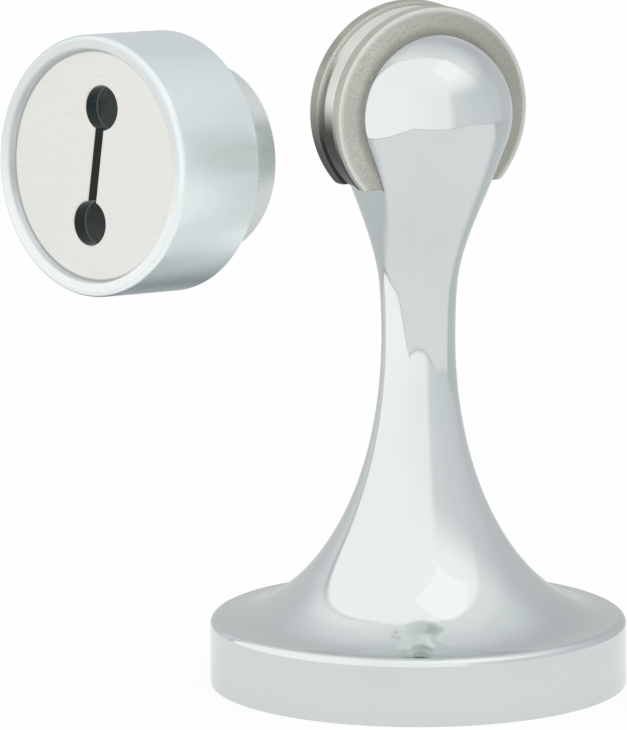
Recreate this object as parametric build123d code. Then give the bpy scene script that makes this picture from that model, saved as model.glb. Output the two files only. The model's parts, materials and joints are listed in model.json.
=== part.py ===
from build123d import *
from math import cos, radians, sin, sqrt, tan
import os

# Magnetic floor door holder: a chromed stand that is screwed to the floor, and the
# round catch that is screwed to the door and meets the stand's magnet.
# Millimetres. The origin is the centre of the stand's underside and +Z is up. The
# magnet's pole plates stand in the XZ plane, and the stand's front looks along -Y.

# ---- Stand: the cast post
flange_radius = 26.0
flange_height = 8.4          # floor to the top of the flange's rim
rim_rounding = 1.0
foot_reach = 9.2             # how far the flange runs level before it turns up
stem_reach = 22.9            # how far the stem runs upright before it spreads
neck_radius = 4.6
neck_height = 44.0
head_height = 72.4           # floor to the centre of the ball head
ball_radius = 9.75
flare_angle = 22.3           # where the neck meets the ball, from the vertical
spread_start = 6.0           # above the neck, where the stem begins to part
spread_end = 2.2             # below the ball, where its halves have fully parted
flare_sections = 9
round_side_angle = 15.0      # half the arc of the round neck that each flat side grows from
wall = 2.6                   # the casting's wall over its hollow foot
skirt_wall = 2.0
roof_steps = 4               # corners of the hollow's roof, which follows the trumpet
boss_radius = 8.5

# ---- Stand: the magnet and its pole plates
pole_radius = 13.25
pole_thickness = 2.0
pole_flat = 9.1              # head centre down to the plates' flat lower edge
pole_chamfer = 0.3
pole_corner = 0.8
magnet_thickness = 3.8
magnet_chamfer = 0.15
magnet_recess = 0.6          # how far the magnet's edge lies inside the plates'
slot_clearance = 0.1

# ---- Stand: fastenings
head_screw_radius = 2.0
head_screw_grip = 5.0        # length in the front lobe
screw_head_radius = 3.5
screw_head_height = 2.4
screw_chamfer = 0.3
screw_head_sink = 3.3        # counterbore's depth below the rear lobe's crown
hex_key = 2.5
floor_plate_thickness = 3.0
floor_plate_gap = 0.3
floor_plate_chamfer = 0.5
stud_radius = 4.0
stud_height = 19.0
stud_chamfer = 0.8
stud_flange_radius = 6.5
stud_flange_height = 1.2
floor_hole_radius = 2.25
floor_hole_circle = 16.0     # radius of the hole circle
floor_hole_count = 3
floor_hole_sink_radius = 4.2

# ---- Catch
cup_radius = 16.3
cup_depth = 13.7
cup_wall = 1.2
lip_opening_radius = 14.5
lip_thickness = 1.2
lip_rounding = 0.8
lip_inner_chamfer = 0.35
cup_rear_chamfer = 0.3
strike_thickness = 2.1
strike_raise = 0.2           # the raised face's height in the lip's opening
strike_gap = 0.3             # round the disc in the cup, and round its face in the lip
strike_chamfer = 0.15
strike_travel = 2.0
key_hole_radius = 2.8
key_hole_spacing = 14.6
key_slot_width = 1.4
key_lean = 4.8               # the slot's clockwise lean from the vertical, in degrees
cup_back_thickness = 3.0
door_base_radius = 12.0
door_base_depth = 7.2
door_base_chamfer = 0.3
door_spigot_radius = 4.6
door_hole_radius = 1.9
door_hole_sink_radius = 3.6
buffer_wall = 1.4
buffer_gap = 0.3             # between the sleeve's bore and the key holes' outer edges
spring_wire = 0.9            # width and height of the square wire
spring_turns = 2.5
spring_gap = 0.3             # between the spring and the pieces it rests on

# ---- Catch: where it stands beside the stand
catch_x = -35.8              # centre of its front rim
catch_y = 19.5
catch_height = 65.2
catch_heading = 17.8         # the way it faces: from -X towards -Y, in degrees
catch_tilt = 3.9             # how far it looks up

small_clearance = 0.05
STANDING = (Align.CENTER, Align.CENTER, Align.MIN)

# ---- Worked out from the sizes above
sandwich = 2 * pole_thickness + magnet_thickness
lobe_offset = sandwich / 2                    # ball centres, before and behind
slot_floor = head_height - pole_flat
flare_top = head_height - ball_radius * sin(radians(flare_angle))
flare_top_radius = ball_radius * cos(radians(flare_angle))
floor_plate_radius = flange_radius - skirt_wall - floor_plate_gap
magnet_radius = pole_radius - magnet_recess
bore_radius = cup_radius - cup_wall
strike_radius = bore_radius - strike_gap
strike_face_radius = lip_opening_radius - strike_gap
catch_length = door_base_depth + cup_depth
strike_front = catch_length - lip_thickness - small_clearance
strike_back = strike_front + strike_raise - strike_thickness
cup_back_front = door_base_depth + cup_back_thickness
buffer_inner_radius = key_hole_spacing / 2 + key_hole_radius + buffer_gap
buffer_outer_radius = buffer_inner_radius + buffer_wall
spring_radius = (buffer_outer_radius + bore_radius) / 2


def rod(radius, low, high):
    """A round bar on the Z axis."""
    return Pos(0, 0, low) * Cylinder(radius, high - low, align=STANDING)


def circles_up(piece):
    """The round edges of a piece on the Z axis, from the lowest to the highest."""
    return piece.edges().filter_by(GeomType.CIRCLE).sort_by(Axis.Z)


def countersink(hole_radius, sink_radius, face):
    """The 45-degree cone that opens a hole out towards a face at this height."""
    depth = sink_radius - hole_radius
    return Pos(0, 0, face - depth / 2) * Cone(hole_radius, sink_radius, depth)


# ---------------------------------------------------------------- post

def trumpet_curve():
    """The flange's top, the trumpet and the stem up to the neck, as one curve."""
    rim = (flange_radius - rim_rounding, 0, flange_height)
    neck = (neck_radius, 0, neck_height)
    rim_handle = (rim[0] - foot_reach, 0, flange_height)
    neck_handle = (neck_radius, 0, neck_height - stem_reach)
    return Bezier(rim, rim_handle, neck_handle, neck)


def foot_and_stem():
    """The round part of the post, from the floor to the neck."""
    curve = trumpet_curve()
    side = Line((flange_radius, 0, 0), (flange_radius, 0, flange_height - rim_rounding))
    quarter = 1 - sqrt(0.5)
    rounding = ThreePointArc(
        side @ 1,
        (flange_radius - rim_rounding * quarter, 0, flange_height - rim_rounding * quarter),
        curve @ 0,
    )
    closing = Polyline(curve @ 1, (0, 0, neck_height), (0, 0, 0), side @ 0)
    return revolve(make_face([side, rounding, curve, closing]), Axis.Z)


def flare_half_width(height):
    """Half the width of the parting stem across the slot, at a height."""
    rise = flare_top - neck_height
    t = (height - neck_height) / rise
    end_slope = tan(radians(flare_angle))
    share = 3 * t ** 2 - 2 * t ** 3
    return neck_radius * (1 - share) + flare_top_radius * share + rise * end_slope * (t ** 3 - t ** 2)


def flare_spread(height):
    """How far the two halves of the stem have parted, front and rear, at a height."""
    start = neck_height + spread_start
    end = flare_top - spread_end
    t = min(max((height - start) / (end - start), 0), 1)
    return lobe_offset * (3 * t ** 2 - 2 * t ** 3)


def flare_section(height):
    """A section of the parting stem: a circle at the neck that grows into a slot shape."""
    half_width = flare_half_width(height)
    spread = flare_spread(height)
    side_angle = radians(round_side_angle) * (1 - spread / lobe_offset)
    x = half_width * cos(side_angle)
    y = spread + half_width * sin(side_angle)
    crown = spread + half_width
    handle = 4 / 3 * half_width * tan(side_angle / 2) + 2 / 3 * spread
    side_x = x + handle * sin(side_angle)
    side_y = y - handle * cos(side_angle)

    def corner(across, along):
        return (across, along, height)

    front = ThreePointArc(corner(x, -y), corner(0, -crown), corner(-x, -y))
    left = Bezier(corner(-x, -y), corner(-side_x, -side_y), corner(-side_x, side_y), corner(-x, y))
    rear = ThreePointArc(corner(-x, y), corner(0, crown), corner(x, y))
    right = Bezier(corner(x, y), corner(side_x, side_y), corner(side_x, -side_y), corner(x, -y))
    return make_face([front, left, rear, right])


def flare():
    """The stem from the neck to the ball, where one round stem becomes two lobes."""
    step = (flare_top - neck_height) / (flare_sections - 1)
    sections = [flare_section(neck_height + step * i) for i in range(flare_sections)]
    return loft(sections)


def ball_cap():
    """The ball head above the flare: two half balls drawn apart by the sandwich."""
    ball = Rot(90, 0, 0) * Cylinder(ball_radius, sandwich)
    for side in (-1, 1):
        ball += Pos(0, side * lobe_offset, 0) * Sphere(ball_radius)
    span = 4 * (ball_radius + lobe_offset)
    above = Pos(0, 0, flare_top - head_height) * Box(span, span, span, align=STANDING)
    return Pos(0, 0, head_height) * (ball & above)


def foot_hollow():
    """The space cast under the flange: a recess for the floor plate and the hollow over it."""
    skirt = flange_radius - skirt_wall
    trumpet = trumpet_curve()
    roof = [trumpet @ (step / roof_steps) - Vector(wall, 0, wall) for step in range(roof_steps)]
    sides = [(0, 0, roof[-1].Z), (0, 0, 0), (skirt, 0, 0), (skirt, 0, roof[0].Z)]
    hollow = revolve(make_face(Polyline(*roof, *sides, close=True)), Axis.Z)
    boss = rod(boss_radius, floor_plate_thickness, neck_height)
    return hollow - boss


def post():
    body = foot_and_stem() + flare() + ball_cap()
    body -= foot_hollow()
    body -= rod(stud_radius + small_clearance, 0, stud_height + stud_radius)
    slot_width = sandwich + 2 * slot_clearance
    slot = Box(4 * ball_radius, slot_width, 4 * ball_radius, align=STANDING)
    body -= Pos(0, 0, slot_floor - small_clearance) * slot
    return body - screw_passage()


# ---------------------------------------------------------------- head

def screw_head_seat():
    """The Y of the counterbore's floor in the rear lobe."""
    return lobe_offset + ball_radius - screw_head_sink


def along_head(radius, front, rear):
    """A round bar along Y through the head's centre."""
    return Pos(0, front, head_height) * Rot(-90, 0, 0) * rod(radius, 0, rear - front)


def screw_passage():
    """The stepped hole for the head screw: blind in the front lobe, open at the rear."""
    bottom = -lobe_offset - head_screw_grip - small_clearance
    shank = along_head(head_screw_radius + small_clearance, bottom, screw_head_seat())
    outside = lobe_offset + 2 * ball_radius
    counterbore = along_head(screw_head_radius + slot_clearance, screw_head_seat(), outside)
    return shank + counterbore


def truncated_disc(radius, thickness, edge_chamfer):
    """A disc in the XZ plane with its lower end cut off flat, centred on its thickness."""
    blank = Circle(radius) - Pos(0, -pole_flat - radius) * Rectangle(2 * radius, 2 * radius)
    blank = fillet(blank.vertices(), pole_corner)
    disc = extrude(blank, thickness / 2, both=True)
    disc = chamfer(disc.faces().filter_by(Axis.Z).edges(), edge_chamfer)
    disc -= Cylinder(head_screw_radius + slot_clearance, thickness)
    return Pos(0, 0, head_height) * Rot(90, 0, 0) * disc


def pole_plate(side):
    """One steel pole plate: side is -1 in front of the magnet and +1 behind it."""
    plate = truncated_disc(pole_radius, pole_thickness, pole_chamfer)
    return Pos(0, side * (magnet_thickness + pole_thickness) / 2, 0) * plate


def head_magnet():
    return truncated_disc(magnet_radius, magnet_thickness, magnet_chamfer)


def head_screw():
    """A socket cap screw that clamps the lobes on the magnet and its plates."""
    seat = screw_head_seat()
    shank = along_head(head_screw_radius, -lobe_offset - head_screw_grip, seat)
    head = along_head(screw_head_radius, seat, seat + screw_head_height)
    head = chamfer(head.edges().filter_by(GeomType.CIRCLE).sort_by(Axis.Y)[-1], screw_chamfer)
    socket = extrude(RegularPolygon(hex_key / 2, 6, major_radius=False), screw_head_height / 2)
    socket = Pos(0, seat + screw_head_height, head_height) * Rot(90, 0, 0) * socket
    return shank + head - socket


# ---------------------------------------------------------------- floor fixing

def floor_plate():
    """The steel disc that is screwed to the floor inside the flange."""
    plate = rod(floor_plate_radius, 0, floor_plate_thickness)
    plate = chamfer(circles_up(plate)[-1], floor_plate_chamfer)
    plate -= rod(stud_radius, 0, floor_plate_thickness)
    plate -= rod(stud_flange_radius, 0, stud_flange_height)
    hole = rod(floor_hole_radius, 0, floor_plate_thickness)
    hole += countersink(floor_hole_radius, floor_hole_sink_radius, floor_plate_thickness)
    plate -= PolarLocations(floor_hole_circle, floor_hole_count, start_angle=90) * hole
    return plate


def floor_stud():
    """The stud that stands in the floor plate and carries the post, let in from below."""
    stud = rod(stud_flange_radius, 0, stud_flange_height) + rod(stud_radius, 0, stud_height)
    return chamfer(circles_up(stud)[-1], stud_chamfer)


# ---------------------------------------------------------------- catch
# The catch's pieces are drawn on the Z axis, from the door's face at 0 to the front rim,
# and are then put in place beside the stand.

def catch_place():
    """The place of the catch: its front rim's centre, the way it looks and its tilt."""
    heading = radians(catch_heading)
    tilt = radians(catch_tilt)
    look = Vector(-cos(heading) * cos(tilt), -sin(heading) * cos(tilt), sin(tilt))
    across = Vector(sin(heading), -cos(heading), 0)
    door_centre = Vector(catch_x, catch_y, catch_height) - look * catch_length
    return Plane(origin=door_centre, x_dir=across, z_dir=look)


def placed(piece):
    return catch_place().location * piece


def key_pair(radius, low, high):
    """Two round bars on the holes' centres, one over the other up the catch's face."""
    bars = [Pos(0, side * key_hole_spacing / 2, 0) * rod(radius, low, high) for side in (-1, 1)]
    return Rot(0, 0, -key_lean) * (bars[0] + bars[1])


def catch_cup():
    """The chromed cup: a tube whose front end turns in to a rounded lip."""
    outer = rod(cup_radius, door_base_depth, catch_length)
    outer = fillet(circles_up(outer)[-1], lip_rounding)
    outer = chamfer(circles_up(outer)[0], cup_rear_chamfer)
    cup = outer - rod(bore_radius, door_base_depth, catch_length - lip_thickness)
    cup -= rod(lip_opening_radius, door_base_depth, catch_length)
    opening = [edge for edge in circles_up(cup) if edge.radius < bore_radius - small_clearance]
    return chamfer(opening[-1], lip_inner_chamfer)


def strike_disc():
    """The steel disc that the magnet holds, with two key holes joined by a slot."""
    disc = rod(strike_radius, strike_back, strike_front)
    face = rod(strike_face_radius, strike_front, strike_front + strike_raise)
    face = chamfer(circles_up(face)[-1], strike_chamfer)
    holes = key_pair(key_hole_radius, strike_back, strike_front + strike_raise)
    slot = Box(key_slot_width, key_hole_spacing, 2 * strike_thickness)
    slot = Rot(0, 0, -key_lean) * Pos(0, 0, strike_front) * slot
    return disc + face - holes - slot


def catch_spring():
    """The coil spring between the cup's back and the strike disc."""
    low = cup_back_front + spring_gap + spring_wire / 2
    high = strike_back - spring_gap - spring_wire / 2
    path = Pos(0, 0, low) * Helix((high - low) / spring_turns, high - low, spring_radius)
    wire = Plane(path @ 0, z_dir=path % 0) * Rectangle(spring_wire, spring_wire)
    return sweep(wire, path=path)


def buffer_sleeve():
    """The rubber sleeve inside the spring that stops the strike disc at the end of its travel."""
    top = strike_back - strike_travel - spring_gap
    return rod(buffer_outer_radius, cup_back_front, top) - rod(buffer_inner_radius, cup_back_front, top)


def cup_back():
    """The disc pressed into the cup's rear end, with countersunk holes for the door screws."""
    back = rod(bore_radius, door_base_depth, cup_back_front)
    back -= rod(door_spigot_radius + small_clearance, door_base_depth, cup_back_front)
    back -= key_pair(door_hole_radius, door_base_depth, cup_back_front)
    sink = countersink(door_hole_radius, door_hole_sink_radius, cup_back_front)
    sinks = [Pos(0, side * key_hole_spacing / 2, 0) * sink for side in (-1, 1)]
    return back - Rot(0, 0, -key_lean) * (sinks[0] + sinks[1])


def door_base():
    """The spacer that lies on the door, with a spigot that centres the cup's back."""
    base = rod(door_base_radius, 0, door_base_depth)
    base = chamfer(base.edges().filter_by(GeomType.CIRCLE), door_base_chamfer)
    base += rod(door_spigot_radius, door_base_depth, cup_back_front)
    return base - key_pair(door_hole_radius, 0, door_base_depth)


def write_parts():
    os.makedirs("parts", exist_ok=True)
    pieces = {
        "post": post(),
        "front_pole_plate": pole_plate(-1),
        "rear_pole_plate": pole_plate(1),
        "head_magnet": head_magnet(),
        "head_screw": head_screw(),
        "floor_plate": floor_plate(),
        "floor_stud": floor_stud(),
        "catch_cup": placed(catch_cup()),
        "strike_disc": placed(strike_disc()),
        "catch_spring": placed(catch_spring()),
        "buffer_sleeve": placed(buffer_sleeve()),
        "cup_back": placed(cup_back()),
        "door_base": placed(door_base()),
    }
    for node, piece in pieces.items():
        export_step(piece, f"parts/{node}.step")


write_parts()
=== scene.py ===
import json
from math import asin, atan2, cos, pi, radians, sin, sqrt, tan
import bpy
import bmesh
from mathutils import Matrix, Vector


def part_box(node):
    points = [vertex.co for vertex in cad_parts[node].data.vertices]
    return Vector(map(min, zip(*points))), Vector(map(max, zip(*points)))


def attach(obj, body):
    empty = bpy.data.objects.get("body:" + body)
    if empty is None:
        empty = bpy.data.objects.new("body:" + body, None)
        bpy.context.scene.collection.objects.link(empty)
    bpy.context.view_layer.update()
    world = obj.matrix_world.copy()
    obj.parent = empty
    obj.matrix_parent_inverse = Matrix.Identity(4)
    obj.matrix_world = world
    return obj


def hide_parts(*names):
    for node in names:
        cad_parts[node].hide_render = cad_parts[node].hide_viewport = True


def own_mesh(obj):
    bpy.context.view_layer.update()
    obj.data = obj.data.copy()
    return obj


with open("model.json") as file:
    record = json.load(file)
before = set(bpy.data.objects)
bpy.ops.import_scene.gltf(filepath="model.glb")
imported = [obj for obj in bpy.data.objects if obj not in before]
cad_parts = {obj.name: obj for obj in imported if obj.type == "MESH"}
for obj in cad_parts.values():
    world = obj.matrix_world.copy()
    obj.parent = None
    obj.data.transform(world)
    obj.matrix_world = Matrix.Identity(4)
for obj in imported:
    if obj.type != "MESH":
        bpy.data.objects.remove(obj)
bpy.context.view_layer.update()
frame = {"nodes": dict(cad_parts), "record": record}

# A magnetic floor door holder: the chromed stand with its magnet head, and the round
# catch for the door beside it. Metres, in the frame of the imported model: the origin is
# the centre of the stand's underside, +Z is up, and the stand's front looks along -Y.

mm = 0.001


def mount(name):
    """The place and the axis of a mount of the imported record."""
    found = [entry for entry in frame["record"]["mounts"] if entry["name"] == name][0]
    return Vector(found["pos_m"]), Vector(found["axis"])


# ---- Stand: the chromed post
post_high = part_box("post")[1]
flange_radius = post_high.x
flange_height = 8.4 * mm
rim_rounding = 1.0 * mm
foot_reach = 9.2 * mm
stem_reach = 22.9 * mm
neck_radius = 4.6 * mm
neck_height = 44.0 * mm
ball_radius = 9.75 * mm
head_height = post_high.z - ball_radius
flare_angle = radians(22.3)
spread_start = 6.0 * mm
spread_end = 2.2 * mm
round_side_angle = radians(15)
wall = 2.6 * mm
skirt_wall = 2.0 * mm
roof_steps = 4
boss_radius = 8.5 * mm
stud_hole_radius = 4.05 * mm
stud_hole_top = 23.0 * mm

# ---- Stand: the magnet, its pole plates and the fastenings
magnet_low, magnet_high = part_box("head_magnet")
plate_low, plate_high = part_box("front_pole_plate")
pole_radius = plate_high.x
pole_thickness = plate_high.y - plate_low.y
pole_flat = head_height - plate_low.z
magnet_radius = magnet_high.x
magnet_thickness = magnet_high.y - magnet_low.y
pole_edge_rounding = 0.45 * mm
magnet_edge_rounding = 0.2 * mm
pole_corner = 0.8 * mm
pole_hole_radius = 2.1 * mm
lobe_offset = pole_thickness + magnet_thickness / 2
slot_half_width = lobe_offset + 0.1 * mm
slot_floor = plate_low.z - 0.05 * mm
screw_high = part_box("head_screw")[1]
screw_head_radius = screw_high.x
screw_head_height = 2.4 * mm
counterbore_radius = screw_head_radius + 0.1 * mm
counterbore_floor = screw_high.y - screw_head_height
floor_plate_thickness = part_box("floor_plate")[1].z

# ---- Catch, drawn on its own axis from the door's face at 0 to the front rim
door_centre, door_axis = mount("door_face")
strike_point = mount("strike_face")[0]
cup_radius = 16.3 * mm
bore_radius = 15.1 * mm
cup_rear = 7.2 * mm
strike_front = (door_centre - strike_point).dot(door_axis)
cup_front = strike_front + 1.05 * mm
lip_thickness = 1.2 * mm
lip_back = cup_front - lip_thickness
lip_opening_radius = 14.5 * mm
lip_rounding = 0.8 * mm
lip_inner_rounding = 0.35 * mm
cup_rear_chamfer = 0.3 * mm
strike_radius = 14.8 * mm
strike_face_radius = 14.2 * mm
strike_thickness = 2.1 * mm
strike_back = strike_front - strike_thickness
strike_raise = 0.2 * mm
strike_edge = 0.15 * mm
strike_travel = 2.0 * mm
key_hole_radius = 2.8 * mm
key_hole_spacing = 14.6 * mm
key_slot_half_width = 0.7 * mm
key_edge = 0.12 * mm
key_lean = radians(4.8)
cup_back_front = 10.2 * mm
door_hole_radius = 1.9 * mm
door_hole_sink_radius = 3.6 * mm
door_base_radius = 12.0 * mm
door_base_rounding = 0.3 * mm
door_spigot_radius = 4.6 * mm
spigot_clearance = 0.05 * mm
buffer_inner_radius = 10.4 * mm
buffer_outer_radius = 11.8 * mm
buffer_rounding = 0.2 * mm
spring_radius = 13.45 * mm
spring_wire = 0.9 * mm
spring_turns = 2.5
spring_gap = 0.3 * mm
spring_corner = 0.12              # rounding of the wire's corners, as a share of its side

# ---- How finely forms are divided, and how near counts as the same place
ring_steps = 192
arc_steps = 64
side_steps = 12
trumpet_steps = 96
flare_steps = 56
crown_steps = 44
rounding_steps = 6
coil_steps = 96
crown_end = radians(89.5)         # a small flat face closes the crown above this
level_spacing = 0.1 * mm          # no ring of the post lies nearer to the slot's floor
crease = 30                       # degrees, above which an edge stays sharp
spring_crease = 35
tiny = 0.001 * mm                 # points nearer than this count as level
weld_distance = 0.0001 * mm
cut_tolerance = 0.00001 * mm


# -------- node helpers

def add(tree, kind, inputs=None, **settings):
    """A node with its settings and inputs. An input is a value, or a socket to link from."""
    made = tree.nodes.new(kind)
    for key, value in settings.items():
        setattr(made, key, value)
    for socket, value in (inputs or {}).items():
        if isinstance(value, bpy.types.NodeSocket):
            tree.links.new(value, made.inputs[socket])
        else:
            made.inputs[socket].default_value = value
    return made


def math_node(tree, operation, first, second=0.0, clamp=False):
    """The result of a Math node."""
    inputs = {0: first, 1: second}
    return add(tree, "ShaderNodeMath", inputs, operation=operation, use_clamp=clamp).outputs[0]


def times(tree, first, second):
    """The product of two values."""
    return math_node(tree, "MULTIPLY", first, second)


def larger(tree, first, second):
    """The larger of two values."""
    return math_node(tree, "MAXIMUM", first, second)


def remap(tree, value, low, high, new_low=0.0, new_high=1.0, smooth=False):
    """A value moved from one range to another, held inside the new one."""
    kind = "SMOOTHSTEP" if smooth else "LINEAR"
    inputs = dict(enumerate((value, low, high, new_low, new_high)))
    return add(tree, "ShaderNodeMapRange", inputs, interpolation_type=kind).outputs[0]


def blend(tree, share, first, second):
    """Two colours mixed by a share between 0 and 1."""
    return add(tree, "ShaderNodeMix", {0: share, 6: first, 7: second}, data_type="RGBA").outputs[2]


def blend_values(tree, share, first, second):
    """Two values mixed by a share between 0 and 1."""
    return add(tree, "ShaderNodeMix", {0: share, 2: first, 3: second}, data_type="FLOAT").outputs[0]


def layered(tree, colour, *layers):
    """A colour with others laid over it, each by its own mask."""
    for mask, over in layers:
        colour = blend(tree, mask, colour, over)
    return colour


def vector_node(tree, operation, *inputs):
    """A Vector Math node's outputs."""
    return add(tree, "ShaderNodeVectorMath", dict(enumerate(inputs)), operation=operation).outputs


def along(tree, vector, direction):
    """How far a vector reaches along a direction."""
    return vector_node(tree, "DOT_PRODUCT", vector, tuple(direction))["Value"]


def here(tree):
    """Where a point of the piece lies."""
    return add(tree, "ShaderNodeTexCoord").outputs["Object"]


def facing(tree):
    """The way the surface faces."""
    return add(tree, "ShaderNodeNewGeometry").outputs["Normal"]


def axes_of(tree, vector):
    """The three parts of a vector."""
    return add(tree, "ShaderNodeSeparateXYZ", {0: vector}).outputs


def noise(tree, place, scale, detail, **more):
    """Soft random noise."""
    inputs = {"Vector": place, "Scale": scale, "Detail": detail, **more}
    return add(tree, "ShaderNodeTexNoise", inputs).outputs[0]


def new_group(name, inputs, *outputs):
    """A shader node group with named inputs and value outputs, and its two end nodes."""
    tree = bpy.data.node_groups.new(name, "ShaderNodeTree")
    for title, value in inputs.items():
        kind = "NodeSocketVector" if isinstance(value, tuple) else "NodeSocketFloat"
        tree.interface.new_socket(title, in_out="INPUT", socket_type=kind).default_value = value
    for title in outputs:
        tree.interface.new_socket(title, in_out="OUTPUT", socket_type="NodeSocketFloat")
    return tree, add(tree, "NodeGroupInput").outputs, add(tree, "NodeGroupOutput").inputs


def give(tree, result, *values):
    """Links the values that a group gives, and hands back the group."""
    for socket, value in zip(result, values):
        tree.links.new(value, socket)
    return tree


def use_group(tree, group, inputs):
    """A group placed in a material with that material's own values."""
    return add(tree, "ShaderNodeGroup", inputs, node_tree=group).outputs


# -------- effects shared by materials

noise_range = (0.3, 0.7)          # what noise mostly lies between


def grain_group():
    """Fine random grain, as on blasted or cast metal."""
    inputs = {"Grains per metre": 4000.0, "Sharpness": 0.5}
    tree, given, result = new_group("fine grain", inputs, "Grain", "Cloud")
    place = here(tree)
    fine = noise(tree, place, given[0], 3.0, Roughness=given[1])
    slow = noise(tree, place, times(tree, given[0], 0.03), 2.0)
    return give(tree, result, remap(tree, fine, *noise_range), remap(tree, slow, *noise_range))


def polish_group():
    """Polished metal in use: soft smudges, hair-fine scratches and the slight waves of buffing."""
    inputs = {
        "Smudges per metre": 60.0,
        "Scratches per metre": 900.0,
        "Lowest roughness": 0.05,
        "Highest roughness": 0.12,
    }
    tree, given, result = new_group("polished surface", inputs, "Roughness", "Waves", "Smudges")
    place = here(tree)
    smudges = remap(tree, noise(tree, place, given[0], 4.0, Distortion=0.6), 0.38, 0.68, smooth=True)
    stretch = {"Vector": place, "Rotation": (0.4, 0.9, 0.2), "Scale": (1, 1, 0.04)}
    long_way = add(tree, "ShaderNodeMapping", stretch).outputs[0]
    hairs = remap(tree, noise(tree, long_way, given[1], 1.0), 0.66, 0.74)
    share = math_node(tree, "ADD", times(tree, hairs, 0.5), smudges, clamp=True)
    roughness = blend_values(tree, share, given[2], given[3])
    return give(tree, result, roughness, noise(tree, place, 140.0, 1.0), smudges)


def brushed_group():
    """Parallel brush lines: long thin streaks along one direction of the piece's own axes."""
    inputs = {"Turn": (0.0, 0.0, 0.0), "Lines per metre": 6000.0, "Stretch": 0.02}
    tree, given, result = new_group("brush lines", inputs, "Lines", "Bands")
    turn = {"Vector": here(tree), "Rotation": given[0]}
    turned = add(tree, "ShaderNodeMapping", turn, vector_type="TEXTURE").outputs[0]
    squeeze = add(tree, "ShaderNodeCombineXYZ", {0: given[2], 1: 1.0, 2: 1.0}).outputs[0]
    long_way = vector_node(tree, "MULTIPLY", turned, squeeze)[0]
    lines = noise(tree, long_way, given[1], 2.0)
    bands = noise(tree, long_way, times(tree, given[1], 0.12), 2.0)
    return give(tree, result, remap(tree, lines, *noise_range), remap(tree, bands, *noise_range))


def rim_group():
    """A mask that rises towards the rim of a round piece, from its distance to an axis."""
    inputs = {
        "Centre": (0.0, 0.0, 0.0),
        "Axis": (0.0, 1.0, 0.0),
        "Inner radius": 0.01,
        "Outer radius": 0.011,
    }
    tree, given, result = new_group("towards the rim", inputs, "Mask")
    arm = vector_node(tree, "SUBTRACT", here(tree), given[0])[0]
    side = vector_node(tree, "CROSS_PRODUCT", arm, given[1])[0]
    radius = vector_node(tree, "LENGTH", side)["Value"]
    return give(tree, result, remap(tree, radius, given[2], given[3], smooth=True))


GRAIN = grain_group()
POLISH = polish_group()
BRUSHED = brushed_group()
RIM = rim_group()


# -------- materials

black_and_painted_shade = (0.035, 0.045, 0.042, 1)     # the rubber's own black, and the painted shade inside the catch
buffing_depth = 0.004 * mm


def new_material(name, metallic):
    """A material with one Principled shader, and its node tree."""
    material = bpy.data.materials.new(name)
    material.use_nodes = True
    shader = material.node_tree.nodes["Principled BSDF"]
    shader.inputs["Metallic"].default_value = metallic
    return material, material.node_tree


def polish(tree, lowest, highest, smudges_per_metre=60.0):
    """The shared polish, between a lowest and a highest roughness."""
    values = {"Lowest roughness": lowest, "Highest roughness": highest}
    return use_group(tree, POLISH, {**values, "Smudges per metre": smudges_per_metre})


def grain_of(tree, per_metre, sharpness=0.5):
    """The shared grain with this fineness."""
    return use_group(tree, GRAIN, {"Grains per metre": per_metre, "Sharpness": sharpness})


def finished(material, colour, roughness, height, distance):
    """The material with its colour, its roughness and its relief, whose depth is in metres."""
    tree = material.node_tree
    shader = tree.nodes["Principled BSDF"]
    relief = add(tree, "ShaderNodeBump", {"Height": height, "Distance": distance, "Strength": 1.0})
    tree.links.new(colour, shader.inputs["Base Color"])
    tree.links.new(roughness, shader.inputs["Roughness"])
    tree.links.new(relief.outputs[0], shader.inputs["Normal"])
    return material


def buffed(tree, marks):
    """The slight waves and grain of a buffed, plated surface."""
    grain = times(tree, grain_of(tree, 9000.0)["Grain"], 0.02)
    return math_node(tree, "ADD", grain, marks["Waves"])


def rim_mask(tree, centre, axis, inner, outer):
    """A mask that rises between two distances from an axis."""
    values = {"Centre": centre, "Axis": axis, "Inner radius": inner, "Outer radius": outer}
    return use_group(tree, RIM, values)["Mask"]


def pole_rim(tree, inner, outer):
    """A mask that rises between two distances from the magnet's own axis."""
    return rim_mask(tree, (0.0, 0.0, head_height), (0.0, 1.0, 0.0), inner, outer)


def catch_rim(tree, inner, outer):
    """A mask that rises between two distances from the catch's axis."""
    return rim_mask(tree, tuple(door_centre), tuple(door_axis), inner, outer)


def catch_depth(tree, start, end):
    """A mask that rises between two heights over the door's face, on the catch's axis."""
    door_face = door_centre.dot(look)
    return remap(tree, along(tree, here(tree), look), door_face + start, door_face + end)


def low_on_head(tree, top, bottom):
    """A mask that rises down the head, between two heights measured from its centre."""
    height = axes_of(tree, here(tree))[2]
    return remap(tree, height, head_height + top, head_height + bottom, smooth=True)


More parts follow.
